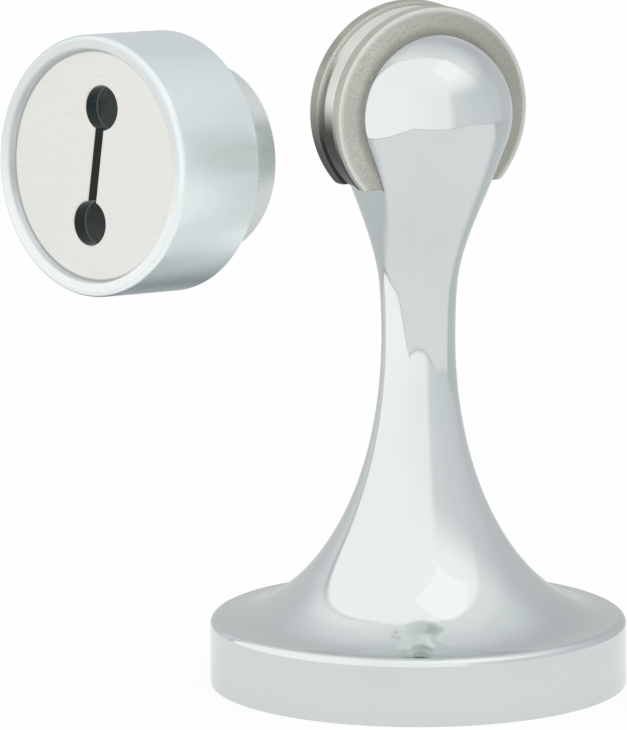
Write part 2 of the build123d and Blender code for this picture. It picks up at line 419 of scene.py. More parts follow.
def casting_chrome():
    """The post's mirror chrome, with a thin line of painted shade where its lobes meet the plates.
    """
    material, tree = new_material("casting chrome", 1.0)
    marks = polish(tree, 0.045, 0.11)
    tint = blend(tree, marks["Smudges"], (0.665, 0.705, 0.70, 1), (0.635, 0.68, 0.675, 1))
    place = axes_of(tree, here(tree))
    depth = math_node(tree, "ABSOLUTE", place[1])
    near = remap(tree, depth, slot_half_width + 0.45 * mm, slot_half_width + 0.05 * mm, smooth=True)
    outside = remap(tree, depth, slot_half_width, slot_half_width + 0.03 * mm)
    above_floor = remap(tree, place[2], slot_floor - 0.2 * mm, slot_floor + 0.2 * mm)
    # painted shade: a thin dark line on the lobes where they meet the plates
    joint_shade = times(tree, times(tree, near, outside), above_floor)
    slot_wall = times(tree, math_node(tree, "SUBTRACT", 1.0, outside), above_floor)
    over = (joint_shade, (0.1, 0.1, 0.09, 1)), (slot_wall, (0.95, 0.95, 0.94, 1))
    tinted = layered(tree, tint, *over)
    rough = larger(tree, marks["Roughness"], times(tree, slot_wall, 0.6))
    return finished(material, tinted, rough, buffed(tree, marks), buffing_depth)


def cup_chrome():
    """The cup's softer chrome with painted light and shade: brighter on the side than on the lip,
    lighter low on the lip, darker where the side faces up and below, and dark inside.
    """
    material, tree = new_material("cup chrome", 0.5)
    marks = polish(tree, 0.2, 0.25)
    height = axes_of(tree, here(tree))[2]
    half = cup_radius / 2
    # painted light and shade: the lip lighter low down and darker at its top
    lower = remap(tree, height, door_centre.z + half, door_centre.z - half, smooth=True)
    lip = blend(tree, lower, (0.58, 0.62, 0.62, 1), (0.72, 0.76, 0.76, 1))
    # painted shade: dark inside the cup, behind the lip
    behind_lip = catch_depth(tree, lip_back, lip_back - 0.4 * mm)
    inside = blend(tree, behind_lip, lip, (0.09, 0.10, 0.10, 1))
    upward_share = axes_of(tree, facing(tree))[2]
    # painted light and shade: the side darker where it faces up and lighter where it faces sideways
    upper = remap(tree, upward_share, -0.4, 0.9)
    side = blend(tree, upper, (0.87, 0.935, 0.935, 1), (0.67, 0.74, 0.76, 1))
    smudged = times(tree, marks["Smudges"], 0.3)
    # painted shade: the cup much darker where it faces down
    underside_shade = remap(tree, upward_share, -0.56, -0.86)
    toned = layered(tree, side, (smudged, (0.72, 0.78, 0.79, 1)), (underside_shade, (0.13, 0.18, 0.20, 1)))
    # painted light: the side takes a brighter copy of the chrome than the lip
    outside = catch_rim(tree, cup_radius - 0.8 * mm, cup_radius - 0.1 * mm)
    tinted = blend(tree, outside, inside, toned)
    return finished(material, tinted, marks["Roughness"], buffed(tree, marks), buffing_depth)


def blasted_steel(name, rim_colour, low_shade_share, edge_highlight_share, groove_shade_reach, groove_shade_top):
    """A pole plate: dull grey blasted steel, with painted shade to one side and by the ball.

    Its rim has its own colour. The low shade share says how much painted shade blackens the rim low
    down, and the edge highlight share how bright a painted highlight makes the face along its edge.
    Painted shade spreads on to the rim from the groove by the magnet, as far as its reach and from
    its top down.
    """
    material, tree = new_material(name, 0.35)
    grain = grain_of(tree, 4200.0, 0.7)
    dull = blend(tree, grain["Grain"], (0.42, 0.43, 0.39, 1), (0.70, 0.71, 0.65, 1))
    place = axes_of(tree, here(tree))
    # painted shade: the face darker towards +X, away from the light
    side_shade = remap(tree, place[0], -pole_radius, pole_radius, 0.0, 0.55, smooth=True)
    # painted shade: the face darker round the ball
    ball_shade = pole_rim(tree, ball_radius + 1.6 * mm, ball_radius)
    # painted highlight: the face lighter along its edge, by the edge highlight share
    edge = pole_rim(tree, pole_radius - 0.9 * mm, pole_radius - 0.35 * mm)
    face = layered(
        tree, dull,
        (times(tree, grain["Cloud"], 0.5), (0.43, 0.42, 0.38, 1)),
        (side_shade, (0.22, 0.225, 0.19, 1)),
        (remap(tree, ball_shade, 0.0, 1.0, 0.0, 0.4, smooth=True), (0.16, 0.165, 0.14, 1)),
        (times(tree, edge, edge_highlight_share), (0.70, 0.72, 0.68, 1)),
    )
    mottled = blend(tree, times(tree, grain["Cloud"], 0.6), rim_colour, dull)
    # painted shade: the rim blackened low on the head, by the low shade share
    low = times(tree, low_on_head(tree, 4.0 * mm, -6.0 * mm), low_shade_share)
    shaded_rim = blend(tree, low, mottled, (0.03, 0.032, 0.026, 1))
    rim = pole_rim(tree, pole_radius - 0.16 * mm, pole_radius - 0.04 * mm)
    # painted shade: nearly black in the groove by the magnet, low on the head
    groove = magnet_thickness / 2 + groove_shade_reach
    from_middle = math_node(tree, "ABSOLUTE", place[1])
    in_groove = remap(tree, from_middle, groove + 0.25 * mm, groove + 0.1 * mm)
    groove_shade = times(tree, in_groove, low_on_head(tree, groove_shade_top, groove_shade_top - 8.0 * mm))
    tinted = layered(tree, face, (rim, shaded_rim), (groove_shade, (0.025, 0.027, 0.022, 1)))
    rough = remap(tree, grain["Grain"], 0.0, 1.0, 0.5, 0.68)
    return finished(material, tinted, rough, grain["Grain"], 0.025 * mm)


def nickel():
    """The magnet's nickel plating, with a painted highlight along its front edge and crown.

    It has painted shade by the rear plate, and dark painted shade low in the groove.
    """
    material, tree = new_material("magnet nickel", 1.0)
    marks = polish(tree, 0.22, 0.34, smudges_per_metre=200.0)
    tint = blend(tree, marks["Smudges"], (0.72, 0.72, 0.68, 1), (0.65, 0.65, 0.61, 1))
    place = axes_of(tree, here(tree))
    front, rear = magnet_low.y, magnet_high.y
    # painted highlight: bright cream along the front edge and over the crown
    front_edge = remap(tree, place[1], front + 1.3 * mm, front + 0.5 * mm, smooth=True)
    crown = remap(tree, place[2], head_height + 4 * mm, head_height + 11 * mm, smooth=True)
    painted_highlight = larger(tree, front_edge, times(tree, crown, 0.8))
    # painted shade: darker along the rear plate, below the crown
    rear_edge = remap(tree, place[1], rear - 1.2 * mm, rear - 0.8 * mm, smooth=True)
    beside = times(tree, rear_edge, low_on_head(tree, 8.5 * mm, 4.0 * mm))
    tinted = layered(
        tree, tint,
        (painted_highlight, (0.97, 0.955, 0.89, 1)),
        (beside, (0.20, 0.205, 0.17, 1)),
        # painted shade: nearly black low in the groove
        (low_on_head(tree, 2.5 * mm, -2.5 * mm), (0.03, 0.034, 0.027, 1)),
    )
    return finished(material, tinted, marks["Roughness"], marks["Waves"], 0.003 * mm)


def strike_steel():
    """The strike's fine brushing, with painted shade on its hole walls, less dark towards their back
    edges, and on the ring under the cup's lip.
    """
    material, tree = new_material("brushed strike steel", 1.0)
    light = (0.69, 0.70, 0.675, 1)
    brush = use_group(tree, BRUSHED, {"Turn": tuple(catch_turn), "Lines per metre": 11000.0})
    marks = polish(tree, 0.0, 0.05)
    tint = blend(tree, brush["Lines"], (0.62, 0.63, 0.605, 1), light)
    # painted shade: the ring round the raised face darker, under the cup's lip
    step = catch_rim(tree, strike_face_radius - 0.02 * mm, strike_face_radius)
    # painted shade on the walls, less dark towards their back edges
    near_back_edge = catch_depth(tree, strike_back + 0.2 * mm, strike_back + 0.1 * mm)
    hole_wall = blend(tree, near_back_edge, (0.033, 0.043, 0.04, 1), (0.16, 0.18, 0.17, 1))
    towards_front = math_node(tree, "ABSOLUTE", along(tree, facing(tree), look))
    tinted = layered(
        tree, tint,
        (times(tree, brush["Bands"], 0.5), light),
        (step, (0.34, 0.37, 0.36, 1)),
        (remap(tree, towards_front, 0.6, 0.3), hole_wall),
    )
    banding = remap(tree, brush["Bands"], 0.0, 1.0, 0.34, 0.42)
    rough = math_node(tree, "ADD", banding, marks["Roughness"])
    return finished(material, tinted, rough, brush["Lines"], 0.003 * mm)


def satin_base():
    """The door base: satin steel, fine in the grain, with painted shade on its holes and spigot
    inside the cup.
    """
    material, tree = new_material("satin base steel", 1.0)
    grain = grain_of(tree, 3000.0)
    marks = polish(tree, 0.3, 0.4)
    tint = blend(tree, grain["Grain"], (0.68, 0.73, 0.70, 1), (0.78, 0.82, 0.79, 1))
    outside = catch_rim(tree, door_base_radius - 0.7 * mm, door_base_radius - 0.5 * mm)
    # painted shade inside the cup: the holes and the spigot dark
    deep = catch_depth(tree, 0.3 * mm, 0.5 * mm)
    inside = math_node(tree, "SUBTRACT", deep, outside, clamp=True)
    tinted = blend(tree, inside, tint, black_and_painted_shade)
    return finished(material, tinted, marks["Roughness"], grain["Grain"], 0.006 * mm)


def zinc_plate(name, colour, spangle_colour, painted_shade_from=None):
    """Zinc-plated steel with the faint cloudiness of the plating.

    Past a height on the catch's axis, inside the cup, it takes painted shade.
    """
    material, tree = new_material(name, 1.0)
    grain = grain_of(tree, 2500.0)
    marks = polish(tree, 0.28, 0.45, smudges_per_metre=150.0)
    tint = blend(tree, grain["Cloud"], colour, spangle_colour)
    if painted_shade_from is not None:
        # painted shade inside the cup
        inside = catch_depth(tree, painted_shade_from, painted_shade_from + 0.1 * mm)
        tint = blend(tree, inside, tint, black_and_painted_shade)
    return finished(material, tint, marks["Roughness"], grain["Grain"], 0.005 * mm)


def black_rubber():
    """The buffer's matt black rubber."""
    material, tree = new_material("buffer rubber", 0.0)
    grain = grain_of(tree, 2600.0, 0.6)
    tint = blend(tree, grain["Cloud"], black_and_painted_shade, (0.05, 0.062, 0.058, 1))
    rough = remap(tree, grain["Grain"], 0.0, 1.0, 0.6, 0.8)
    return finished(material, tint, rough, grain["Grain"], 0.02 * mm)


# -------- shapes

def arc(centre, radius, start, end, steps):
    """Points on an arc in a plane, both ends included."""
    angles = [start + (end - start) * i / steps for i in range(steps + 1)]
    return [(centre[0] + radius * cos(a), centre[1] + radius * sin(a)) for a in angles]


def smoothstep(t):
    """A value eased from 0 to 1, held inside them."""
    t = min(max(t, 0), 1)
    return 3 * t ** 2 - 2 * t ** 3


def bezier(points, steps):
    """Points on a cubic curve, both ends included."""
    made = []
    for i in range(steps + 1):
        t = i / steps
        shares = ((1 - t) ** 3, 3 * (1 - t) ** 2 * t, 3 * (1 - t) * t ** 2, t ** 3)
        made.append(tuple(sum(s * p[k] for s, p in zip(shares, points)) for k in (0, 1)))
    return made


def ring_of(bm, points):
    """The vertices of one ring."""
    return [bm.verts.new(point) for point in points]


def wall_between(bm, lower, upper):
    """A band of four-sided faces between two rings of the same number of points."""
    for i in range(len(lower)):
        j = (i + 1) % len(lower)
        bm.faces.new((lower[i], lower[j], upper[j], upper[i]))


def walls(bm, rings):
    """Bands of faces up a stack of rings. Gives back the rings."""
    for lower, upper in zip(rings, rings[1:]):
        wall_between(bm, lower, upper)
    return rings


def cover(bm, rings):
    """Fills the flat face between an outer ring and the rings inside it."""
    edges = []
    for ring in rings:
        for i in range(len(ring)):
            pair = (ring[i], ring[(i + 1) % len(ring)])
            edges.append(bm.edges.get(pair) or bm.edges.new(pair))
    bmesh.ops.triangle_fill(bm, use_beauty=True, use_dissolve=False, edges=edges)


def full_turn(radius, centre, steps):
    """Points round a whole circle in a plane."""
    return arc(centre, radius, 0, 2 * pi * (steps - 1) / steps, steps - 1)


def circle(radius, height, centre=(0, 0), steps=ring_steps):
    """Points round a level circle at a height."""
    return [(x, y, height) for x, y in full_turn(radius, centre, steps)]


def turned(bm, outline):
    """An open wall turned on the Z axis from radii and heights. Gives back its rings."""
    return walls(bm, [ring_of(bm, circle(radius, height)) for radius, height in outline])


def lathe(outline):
    """A body turned on the Z axis from a closed outline of radii and heights."""
    bm = bmesh.new()
    rings = []
    for radius, height in outline:
        on_axis = radius < tiny
        rings.append(ring_of(bm, [(0, 0, height)] if on_axis else circle(radius, height)))
    for i, lower in enumerate(rings):
        upper = rings[(i + 1) % len(rings)]
        if len(lower) == 1 and len(upper) == 1:
            continue
        if len(lower) == 1 or len(upper) == 1:
            pole, ring = (lower[0], upper) if len(lower) == 1 else (upper[0], lower)
            for k in range(len(ring)):
                bm.faces.new((pole, ring[k], ring[(k + 1) % len(ring)]))
        else:
            wall_between(bm, lower, upper)
    return bm


def plain_mesh(piece):
    """Applies a piece's modifiers, so that it is a plain mesh of its own."""
    depsgraph = bpy.context.evaluated_depsgraph_get()
    mesh = bpy.data.meshes.new_from_object(piece.evaluated_get(depsgraph), depsgraph=depsgraph)
    piece.modifiers.clear()
    old = piece.data
    piece.data = mesh
    bpy.data.meshes.remove(old)
    mesh.name = piece.name


def close_up(bm):
    """Joins the points that meet, and turns every face outward."""
    bmesh.ops.remove_doubles(bm, verts=bm.verts, dist=weld_distance)
    bmesh.ops.recalc_face_normals(bm, faces=bm.faces)


def mesh_of(name, bm, place=Matrix()):
    """A mesh from its shape, put in place."""
    mesh = bpy.data.meshes.new(name)
    bm.to_mesh(mesh)
    bm.free()
    mesh.transform(place)
    return mesh


def smooth_to(mesh, angle):
    """Smooth shading, with sharp edges above an angle in degrees."""
    mesh.shade_smooth()
    mesh.set_sharp_from_angle(angle=radians(angle))


def in_scene(name, data):
    """A new object in the scene."""
    made = bpy.data.objects.new(name, data)
    bpy.context.scene.collection.objects.link(made)
    return made


def new_piece(name, bm, material, place=Matrix()):
    """A finished piece from its shape: put in place, closed, smooth up to the crease angle."""
    close_up(bm)
    mesh = mesh_of(name, bm, place)
    mesh.materials.append(material)
    smooth_to(mesh, crease)
    piece = in_scene(name, mesh)
    weighting = piece.modifiers.new("even normals", "WEIGHTED_NORMAL")
    weighting.keep_sharp = True
    weighting.weight = 80
    plain_mesh(piece)
    return piece


def settle(piece, body, slot, *nodes, mirrored=False):
    """Lets a piece ride on its body and stand for the CAD nodes it is made after.

    Only a piece that is mirrored shows up in the chrome of the others.
    """
    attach(piece, body)
    if nodes:
        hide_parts(*nodes)
    piece.visible_glossy = mirrored
    return piece


# -------- the post

flare_top = head_height - ball_radius * sin(flare_angle)
flare_top_radius = ball_radius * cos(flare_angle)
flare_rise = flare_top - neck_height


def trumpet_points():
    """The flange's top and the trumpet up to the neck, as radii and heights."""
    rim = (flange_radius - rim_rounding, flange_height)
    neck = (neck_radius, neck_height)
    handles = ((rim[0] - foot_reach, flange_height), (neck_radius, neck_height - stem_reach))
    return bezier((rim, *handles, neck), trumpet_steps)


def underside_points():
    """The hollow foot, from the top of the stud's hole out to the floor at the rim."""
    trumpet = trumpet_points()
    roof = [trumpet[trumpet_steps * i // roof_steps] for i in range(roof_steps)]
    roof = [(radius - wall, height - wall) for radius, height in roof]
    inner, outer = roof[-1], roof[-2]
    share = (boss_radius - inner[0]) / (outer[0] - inner[0])
    meeting = (boss_radius, inner[1] + share * (outer[1] - inner[1]))
    skirt = flange_radius - skirt_wall
    hole = [(stud_hole_radius, stud_hole_top), (stud_hole_radius, floor_plate_thickness)]
    boss = [(boss_radius, floor_plate_thickness), meeting]
    return hole + boss + roof[-2::-1] + [(skirt, roof[0][1]), (skirt, 0), (flange_radius, 0)]


def flare_half_width(height):
    """Half the stem's width at a height, widening smoothly from the neck to the ball's slope."""
    t = (height - neck_height) / flare_rise
    share = smoothstep(t)
    end_slope = tan(flare_angle) * flare_rise * (t ** 3 - t ** 2)
    return neck_radius * (1 - share) + flare_top_radius * share + end_slope


def flare_spread(height):
    """How far the two halves of the stem have parted, front and rear, at a height."""
    start = neck_height + spread_start
    end = flare_top - spread_end
    return lobe_offset * smoothstep((height - start) / (end - start))


def post_section(half_width, spread, height):
    """One ring of the post: round at the stem, slot-shaped at the head."""
    side_angle = round_side_angle * (1 - spread / lobe_offset)
    x = half_width * cos(side_angle)
    y = spread + half_width * sin(side_angle)
    handle = 4 / 3 * half_width * tan(side_angle / 2) + 2 / 3 * spread
    side_x = x + handle * sin(side_angle)
    side_y = y - handle * cos(side_angle)
    rear = arc((0, spread), half_width, side_angle, pi - side_angle, arc_steps)
    left = bezier(((-x, y), (-side_x, side_y), (-side_x, -side_y), (-x, -y)), side_steps)
    half = rear[:-1] + left[:-1]
    return [(side * px, side * py, height) for side in (1, -1) for px, py in half]


def post_sections():
    """The post's rings from the stud's hole, round the foot and up to the crown."""
    rings = [(radius, 0, height) for radius, height in underside_points()]
    rim_centre = (flange_radius - rim_rounding, flange_height - rim_rounding)
    rings += [(r, 0, z) for r, z in arc(rim_centre, rim_rounding, 0, pi / 2, rounding_steps)[:-1]]
    rings += [(r, 0, z) for r, z in trumpet_points()]
    heights = [neck_height + flare_rise * i / flare_steps for i in range(1, flare_steps)]
    heights = sorted([z for z in heights if abs(z - slot_floor) > level_spacing] + [slot_floor])
    rings += [(flare_half_width(z), flare_spread(z), z) for z in heights]
    crown = arc((0, head_height), ball_radius, -flare_angle, crown_end, crown_steps)
    rings += [(radius, lobe_offset, z) for radius, z in crown]
    return rings


def cut_slot(bm):
    """Opens the slot that the magnet and its plates stand in, and closes its three faces."""
    def bisect(faces, point, normal):
        parts = set(faces)
        for face in faces:
            parts.update(face.verts)
            parts.update(face.edges)
        plane = {"plane_co": point, "plane_no": normal}
        bmesh.ops.bisect_plane(bm, geom=list(parts), dist=cut_tolerance, **plane)

    def above():
        return [f for f in bm.faces if f.calc_center_median().z > slot_floor]

    for y in (-slot_half_width, slot_half_width):
        bisect(above(), (0, y, 0), (0, 1, 0))
    inside = [f for f in above() if abs(f.calc_center_median().y) < slot_half_width]
    bmesh.ops.delete(bm, geom=inside, context="FACES")
    rim = {v for e in bm.edges if e.is_boundary for v in e.verts}
    floor_rim = [v for v in rim if abs(v.co.z - slot_floor) < tiny]
    floor_rim.sort(key=lambda v: atan2(v.co.y, v.co.x))
    bm.faces.new(floor_rim)
    for y in (-slot_half_width, slot_half_width):
        cheek = [v for v in rim if abs(v.co.y - y) < tiny]
        cheek.sort(key=lambda v: atan2(v.co.z - head_height, v.co.x))
        bm.faces.new(cheek)


def counterbore_drill():
    """The cutter for the screw's counterbore, along the head's axis."""
    outline = [(0, counterbore_floor), (counterbore_radius, counterbore_floor)]
    outline += [(counterbore_radius, 2 * flange_radius), (0, 2 * flange_radius)]
    bm = lathe(outline)
    bmesh.ops.recalc_face_normals(bm, faces=bm.faces)
    place = Matrix.Translation((0, 0, head_height)) @ Matrix.Rotation(-pi / 2, 4, "X")
    return in_scene("drill", mesh_of("drill", bm, place))


def post():
    """The chromed post, a shell of rings with the magnet's slot and the screw's counterbore."""
    bm = bmesh.new()
    rings = walls(bm, [ring_of(bm, post_section(*section)) for section in post_sections()])
    bm.faces.new(rings[0])
    bm.faces.new(rings[-1])
    cut_slot(bm)
    bmesh.ops.recalc_face_normals(bm, faces=bm.faces)
    shell = in_scene("post_shell", mesh_of("post_shell", bm))
    drill = counterbore_drill()
    cut = shell.modifiers.new("counterbore", "BOOLEAN")
    cut.object = drill
    cut.solver = "EXACT"
    bpy.context.view_layer.update()
    plain_mesh(shell)
    drilled = bmesh.new()
    drilled.from_mesh(shell.data)
    for scrap in (shell, drill):
        old = scrap.data
        bpy.data.objects.remove(scrap)
        bpy.data.meshes.remove(old)
    piece = new_piece("chrome_post", drilled, casting_chrome())
    return settle(piece, "holder", "chrome_casting", "post", mirrored=True)


# -------- the magnet and its plates

def cut_off_disc(radius, flat, corner):
    """The outline of a disc whose lower end is cut off flat, with its corners rounded."""
    corner_x = sqrt((radius - corner) ** 2 - (flat - corner) ** 2)
    corner_z = corner - flat
    turn = atan2(corner_z, corner_x)
    top = arc((0, 0), radius, turn, pi - turn, 2 * arc_steps)
    left = arc((-corner_x, corner_z), corner, pi - turn, 1.5 * pi, rounding_steps)
    right = arc((corner_x, corner_z), corner, -pi / 2, turn, rounding_steps)
    bottom = [(-corner_x + 2 * corner_x * i / side_steps, -flat) for i in range(side_steps + 1)]
    return top[:-1] + left[:-1] + bottom[:-1] + right[:-1]


def magnet_disc(radius, thickness, rounding, middle):
    """A rounded-edge disc of the magnet pack, standing in the XZ plane about a middle Y."""
    bm = bmesh.new()
    layers = []
    for side in (-1, 1):
        turns = [pi / 2 * i / rounding_steps for i in range(rounding_steps + 1)]
        half = [(rounding * (1 - sin(a)), thickness / 2 - rounding * (1 - cos(a))) for a in turns]
        half = half if side < 0 else half[::-1]
        layers += [(inset, side * depth) for inset, depth in half]
    rings = []
    for inset, depth in layers:
        outline = cut_off_disc(radius - inset, pole_flat - inset, pole_corner - inset)
        rings.append(ring_of(bm, [(x, middle + depth, head_height + z) for x, z in outline]))
    walls(bm, rings)
    ends = []
    for depth in (layers[0][1], layers[-1][1]):
        hole = full_turn(pole_hole_radius, (0, 0), arc_steps)
        ends.append(ring_of(bm, [(x, middle + depth, head_height + z) for x, z in hole]))
    wall_between(bm, *ends)
    cover(bm, [rings[0], ends[0]])
    cover(bm, [rings[-1], ends[1]])
    return bm


def pole_plate(name, node, middle, rim_colour, **painted_light_and_shade):
    """One of the two plates that the magnet stands between."""
    disc = magnet_disc(pole_radius, pole_thickness, pole_edge_rounding, middle)
    label = "blasted steel, " + name.replace("_", " ")
    piece = new_piece(name, disc, blasted_steel(label, rim_colour, **painted_light_and_shade))
    return settle(piece, "holder", "pole_steel", node)


def magnet_pack():
    """The magnet between its two pole plates."""
    step = (magnet_thickness + pole_thickness) / 2
    # The front plate: a strong painted edge highlight, and painted groove shade on its rim.
    painted_light_and_shade = {"low_shade_share": 0.1, "edge_highlight_share": 0.75, "groove_shade_reach": 0.9 * mm, "groove_shade_top": 1.5 * mm}
    pole_plate("front_plate", "front_pole_plate", -step, (0.38, 0.37, 0.33, 1), **painted_light_and_shade)
    # The rear plate: a darker rim colour and strong blackening low down, both painted shade, and a
    # faint edge highlight.
    painted_light_and_shade = {"low_shade_share": 0.88, "edge_highlight_share": 0.1, "groove_shade_reach": 0.0, "groove_shade_top": 4.0 * mm}
    pole_plate("rear_plate", "rear_pole_plate", step, (0.20, 0.205, 0.17, 1), **painted_light_and_shade)
    disc = magnet_disc(magnet_radius, magnet_thickness, magnet_edge_rounding, 0)
    settle(new_piece("magnet", disc, nickel()), "holder", "magnet_nickel", "head_magnet")


# -------- the catch

look = -door_axis.normalized()
across = Vector((0, 0, 1)).cross(look).normalized()
upward = look.cross(across)
catch_place = Matrix.Translation(door_centre) @ Matrix((across, upward, look)).transposed().to_4x4()
catch_turn = catch_place.to_euler()
key_turn = Matrix.Rotation(-key_lean, 4, "Z")


def corner(centre, radius, start, end):
    """A rounded corner of a lathe outline, from its centre and its arc in degrees."""
    return arc(centre, radius, radians(start), radians(end), rounding_steps)


def catch_cup():
    """The cup: a tube whose front end turns in to a rounded lip."""
    outline = [(bore_radius, cup_rear), (cup_radius - cup_rear_chamfer, cup_rear)]
    outline += [(cup_radius, cup_rear + cup_rear_chamfer)]
    outline += corner((cup_radius - lip_rounding, cup_front - lip_rounding), lip_rounding, 0, 90)
    inner_centre = (lip_opening_radius + lip_inner_rounding, cup_front - lip_inner_rounding)
    outline += corner(inner_centre, lip_inner_rounding, 90, 180)
    outline += [(lip_opening_radius, lip_back), (bore_radius, lip_back)]
    piece = new_piece("cup_shell", lathe(outline), cup_chrome(), catch_place)
    return settle(piece, "holder", "chrome_cup", "catch_cup")


def key_outline(extra, height):
    """The two key holes and the slot between them, as one outline made wider by a little."""
    radius = key_hole_radius + extra
    half = key_slot_half_width + extra
    meet = asin(half / radius)
    middle = key_hole_spacing / 2
    upper = arc((0, middle), radius, -pi / 2 + meet, 1.5 * pi - meet, arc_steps)
    lower = arc((0, -middle), radius, pi / 2 + meet, 2.5 * pi - meet, arc_steps)
    return [key_turn @ Vector((x, y, height)) for x, y in upper + lower]


def strike_disc():
    """The brushed disc that the magnet holds, with its key holes."""
    step = strike_front - strike_raise
    outer = [(strike_radius, strike_back), (strike_radius, step), (strike_face_radius, step)]
    outer += [(strike_face_radius, strike_front - strike_edge)]
    outer += [(strike_face_radius - strike_edge, strike_front)]
    inner = [(0, strike_back), (0, strike_front - key_edge), (key_edge, strike_front)]
    bm = bmesh.new()
    outer_rings = turned(bm, outer)
    inner_rings = walls(bm, [ring_of(bm, key_outline(*layer)) for layer in inner])
    cover(bm, [outer_rings[0], inner_rings[0]])
    cover(bm, [outer_rings[-1], inner_rings[-1]])
    piece = new_piece("strike_plate", bm, strike_steel(), catch_place)
    return settle(piece, "strike", "brushed_strike", "strike_disc")


def door_holes(bm, low, high, sink_radius=door_hole_radius):
    """The walls of the two door screws' holes. Gives back the rings at their two ends."""
    lows, highs = [], []
    for side in (-1, 1):
        centre = key_turn @ Vector((0, side * key_hole_spacing / 2, 0))
        centre = (centre.x, centre.y)
        sink_depth = sink_radius - door_hole_radius
        layers = [(door_hole_radius, low), (door_hole_radius, high - sink_depth)]
        if sink_depth > 0:
            layers.append((sink_radius, high))
        rings = walls(bm, [ring_of(bm, circle(*layer, centre, arc_steps)) for layer in layers])
        lows.append(rings[0])
        highs.append(rings[-1])
    return lows, highs


def door_base():
    """The spacer on the door, with its spigot and its two screw holes."""
    bm = bmesh.new()
    rounding = door_base_rounding
    inset = door_base_radius - rounding
    outer = corner((inset, rounding), rounding, -90, 0)
    outer += corner((inset, cup_rear - rounding), rounding, 0, 90)
    outer_rings = turned(bm, outer)
    spigot = [(door_spigot_radius, cup_rear), (door_spigot_radius, cup_back_front)]
    spigot_rings = turned(bm, spigot)
    lows, highs = door_holes(bm, 0, cup_rear)
    cover(bm, [outer_rings[0], *lows])
    cover(bm, [outer_rings[-1], spigot_rings[0], *highs])
    cover(bm, [spigot_rings[-1]])
    piece = new_piece("door_spacer", bm, satin_base(), catch_place)
    return settle(piece, "holder", "base_steel", "door_base")


def cup_back():
    """The disc in the cup's rear end, countersunk for the door screws."""
    bm = bmesh.new()
    heights = (cup_rear, cup_back_front)
    middle_radius = door_spigot_radius + spigot_clearance
    outer = turned(bm, [(bore_radius, height) for height in heights])
    middle = turned(bm, [(middle_radius, height) for height in heights])
    lows, highs = door_holes(bm, *heights, door_hole_sink_radius)
    cover(bm, [outer[0], middle[0], *lows])
    cover(bm, [outer[1], middle[1], *highs])
    tints = (0.55, 0.57, 0.56, 1), (0.63, 0.65, 0.64, 1)
    material = zinc_plate("zinc-plated cup back", *tints, painted_shade_from=cup_rear + 0.4 * mm)
    piece = new_piece("back_plate", bm, material, catch_place)
    return settle(piece, "holder", "plate_steel", "cup_back")


def buffer_sleeve():
    """The rubber ring in the cup that the strike lands on when it is pushed in."""
    top = strike_back - strike_travel - spring_gap
    rounding = buffer_rounding
    outline = [(buffer_inner_radius, cup_back_front), (buffer_outer_radius, cup_back_front)]
    outline += corner((buffer_outer_radius - rounding, top - rounding), rounding, 0, 90)
    outline += corner((buffer_inner_radius + rounding, top - rounding), rounding, 90, 180)
    piece = new_piece("buffer_ring", lathe(outline), black_rubber(), catch_place)
    return settle(piece, "holder", "buffer_rubber", "buffer_sleeve")


# -------- grown by Geometry Nodes

def new_growth(name, inputs):
    """A Geometry Nodes tree with named inputs. Gives the tree, its inputs and its output."""
    tree = bpy.data.node_groups.new(name, "GeometryNodeTree")
    for title, kind in inputs.items():
        tree.interface.new_socket(title, in_out="INPUT", socket_type=kind)
    tree.interface.new_socket("Geometry", in_out="OUTPUT", socket_type="NodeSocketGeometry")
    return tree, add(tree, "NodeGroupInput").outputs, add(tree, "NodeGroupOutput").inputs


def grow(name, tree, values, place):
    """Runs a tree with its values and keeps the result as a plain mesh, put in place."""
    piece = in_scene(name, bpy.data.meshes.new(name))
    modifier = piece.modifiers.new(name, "NODES")
    modifier.node_group = tree
    for item in tree.interface.items_tree:
        if item.in_out == "INPUT":
            modifier[item.identifier] = values[item.name]
    plain_mesh(piece)
    bm = bmesh.new()
    bm.from_mesh(piece.data)
    close_up(bm)
    bm.to_mesh(piece.data)
    bm.free()
    piece.data.transform(place)
    smooth_to(piece.data, spring_crease)
    return piece


def coil_tree():
    """A coil of square wire: a spiral with a rounded square swept along it."""
    inputs = dict.fromkeys(("Radius", "Height", "Turns", "Wire"), "NodeSocketFloat")
    inputs["Finish"] = "NodeSocketMaterial"
    tree, given, result = new_growth("coil spring", inputs)
    spiral = add(tree, "GeometryNodeCurveSpiral", {
        "Resolution": coil_steps,
        "Rotations": given["Turns"],
        "Start Radius": given["Radius"],
        "End Radius": given["Radius"],
        "Height": given["Height"],
    })
    sides = {"Width": given["Wire"], "Height": given["Wire"]}
    square = add(tree, "GeometryNodeCurvePrimitiveQuadrilateral", sides)
    corners = {
        "Curve": square.outputs[0],
        "Radius": times(tree, given["Wire"], spring_corner),
        "Count": 3,
    }
    rounded = add(tree, "GeometryNodeFilletCurve", corners, mode="POLY")
    swept = add(tree, "GeometryNodeCurveToMesh", {
        "Curve": spiral.outputs[0],
        "Profile Curve": rounded.outputs[0],
        "Fill Caps": True,
    })
    real = add(tree, "GeometryNodeRealizeInstances", {0: swept.outputs[0]})
    finish = {"Geometry": real.outputs[0], "Material": given["Finish"]}
    return give(tree, result, add(tree, "GeometryNodeSetMaterial", finish).outputs[0])


